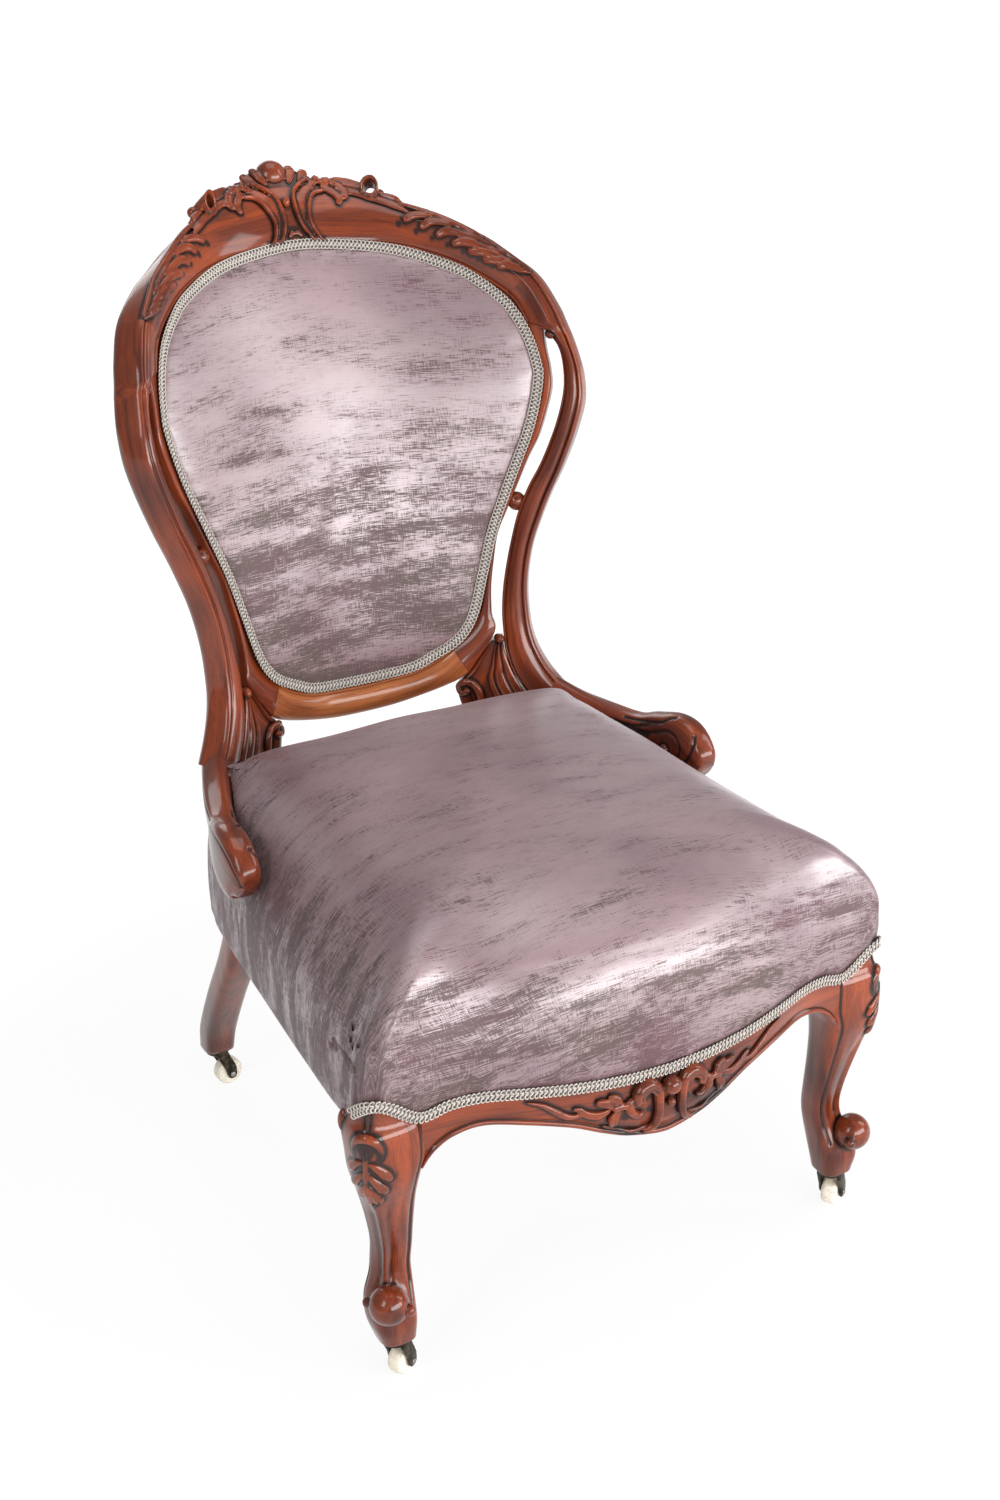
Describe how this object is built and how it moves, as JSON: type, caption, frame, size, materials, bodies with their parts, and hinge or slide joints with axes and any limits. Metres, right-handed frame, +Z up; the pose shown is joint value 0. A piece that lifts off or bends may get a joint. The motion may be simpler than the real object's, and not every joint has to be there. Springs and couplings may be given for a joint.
{
  "type": "balloon back chair",
  "caption": "Low upholstered balloon back chair with a carved wooden show frame, short scrolled arms, cabriole front legs, sprung seat and swivel castors.",
  "frame": {"origin": "on the floor, under the middle of the whole chair's box", "axes": "+X to the chair's right seen from the front, +Y to the back, +Z up"},
  "size_m": [0.564, 0.7874, 0.9423],
  "materials": {
    "walnut": "polished red-brown walnut, darker in the recesses of the carving",
    "beech": "plain sawn beech, hidden under the cloth",
    "velvet": "mauve crushed velvet with woven streaks and a pale sheen",
    "braid": "silver-grey looped gimp braid",
    "hessian": "coarse jute webbing and hessian",
    "horsehair": "curled hair stuffing",
    "cambric": "black dust cloth",
    "steel": "dull steel wire and pins",
    "castor_brass": "blackened old brass",
    "ceramic": "cream glazed ceramic with tan speckles"
  },
  "bodies": {
    "chair_frame": {"crest_rail": "walnut", "outer_stile_right": "walnut", "outer_stile_left": "walnut", "inner_stile_right": "walnut", "inner_stile_left": "walnut", "back_lower_rail": "walnut", "hip_bracket_right": "walnut", "hip_bracket_left": "walnut", "slot_link_right": "walnut", "slot_link_left": "walnut", "arm_right": "walnut", "arm_left": "walnut", "front_leg_right": "walnut", "front_leg_left": "walnut", "back_leg_right": "walnut", "back_leg_left": "walnut", "front_rail": "walnut", "side_rail_right": "beech", "side_rail_left": "beech", "back_rail": "beech", "front_corner_block_right": "beech", "front_corner_block_left": "beech", "back_corner_block_right": "beech", "back_corner_block_left": "beech", "seat_webbing": "hessian", "seat_spring_1": "steel", "seat_spring_2": "steel", "seat_spring_3": "steel", "seat_spring_4": "steel", "spring_hessian": "hessian", "seat_stuffing": "horsehair", "seat_cover": "velvet", "seat_gimp": "braid", "dust_cover": "cambric", "back_hessian": "hessian", "back_stuffing": "horsehair", "back_cover": "velvet", "back_outside_cover": "velvet", "back_gimp": "braid", "castor_plate_front_right": "castor_brass", "castor_plate_front_left": "castor_brass", "castor_plate_back_right": "castor_brass", "castor_plate_back_left": "castor_brass"},
    "castor_front_right": {"castor_horn_front_right": "castor_brass", "castor_axle_front_right": "steel"},
    "castor_front_left": {"castor_horn_front_left": "castor_brass", "castor_axle_front_left": "steel"},
    "castor_back_right": {"castor_horn_back_right": "castor_brass", "castor_axle_back_right": "steel"},
    "castor_back_left": {"castor_horn_back_left": "castor_brass", "castor_axle_back_left": "steel"},
    "wheel_front_right": {"castor_wheel_front_right": "ceramic"},
    "wheel_front_left": {"castor_wheel_front_left": "ceramic"},
    "wheel_back_right": {"castor_wheel_back_right": "ceramic"},
    "wheel_back_left": {"castor_wheel_back_left": "ceramic"}
  },
  "joints": [
    {"name": "swivel_front_right", "type": "hinge", "parent": "chair_frame", "child": "castor_front_right", "pos_m": [0.24315, -0.32763, 0.042], "axis": [0, 0, 1], "continuous": true},
    {"name": "swivel_front_left", "type": "hinge", "parent": "chair_frame", "child": "castor_front_left", "pos_m": [-0.24315, -0.32763, 0.042], "axis": [0, 0, 1], "continuous": true},
    {"name": "swivel_back_right", "type": "hinge", "parent": "chair_frame", "child": "castor_back_right", "pos_m": [0.199, 0.17827, 0.042], "axis": [0, 0, 1], "continuous": true},
    {"name": "swivel_back_left", "type": "hinge", "parent": "chair_frame", "child": "castor_back_left", "pos_m": [-0.199, 0.17827, 0.042], "axis": [0, 0, 1], "continuous": true},
    {"name": "roll_front_right", "type": "hinge", "parent": "castor_front_right", "child": "wheel_front_right", "pos_m": [0.25248, -0.3218, 0.01482], "axis": [-0.5299, 0.848, 0], "continuous": true},
    {"name": "roll_front_left", "type": "hinge", "parent": "castor_front_left", "child": "wheel_front_left", "pos_m": [-0.23362, -0.32213, 0.01482], "axis": [-0.5, 0.866, 0], "continuous": true},
    {"name": "roll_back_right", "type": "hinge", "parent": "castor_back_right", "child": "wheel_back_right", "pos_m": [0.20963, 0.18112, 0.01482], "axis": [-0.2588, 0.9659, 0], "continuous": true},
    {"name": "roll_back_left", "type": "hinge", "parent": "castor_back_left", "child": "wheel_back_left", "pos_m": [-0.18804, 0.17923, 0.01482], "axis": [-0.0872, 0.9962, 0], "continuous": true}
  ]
}
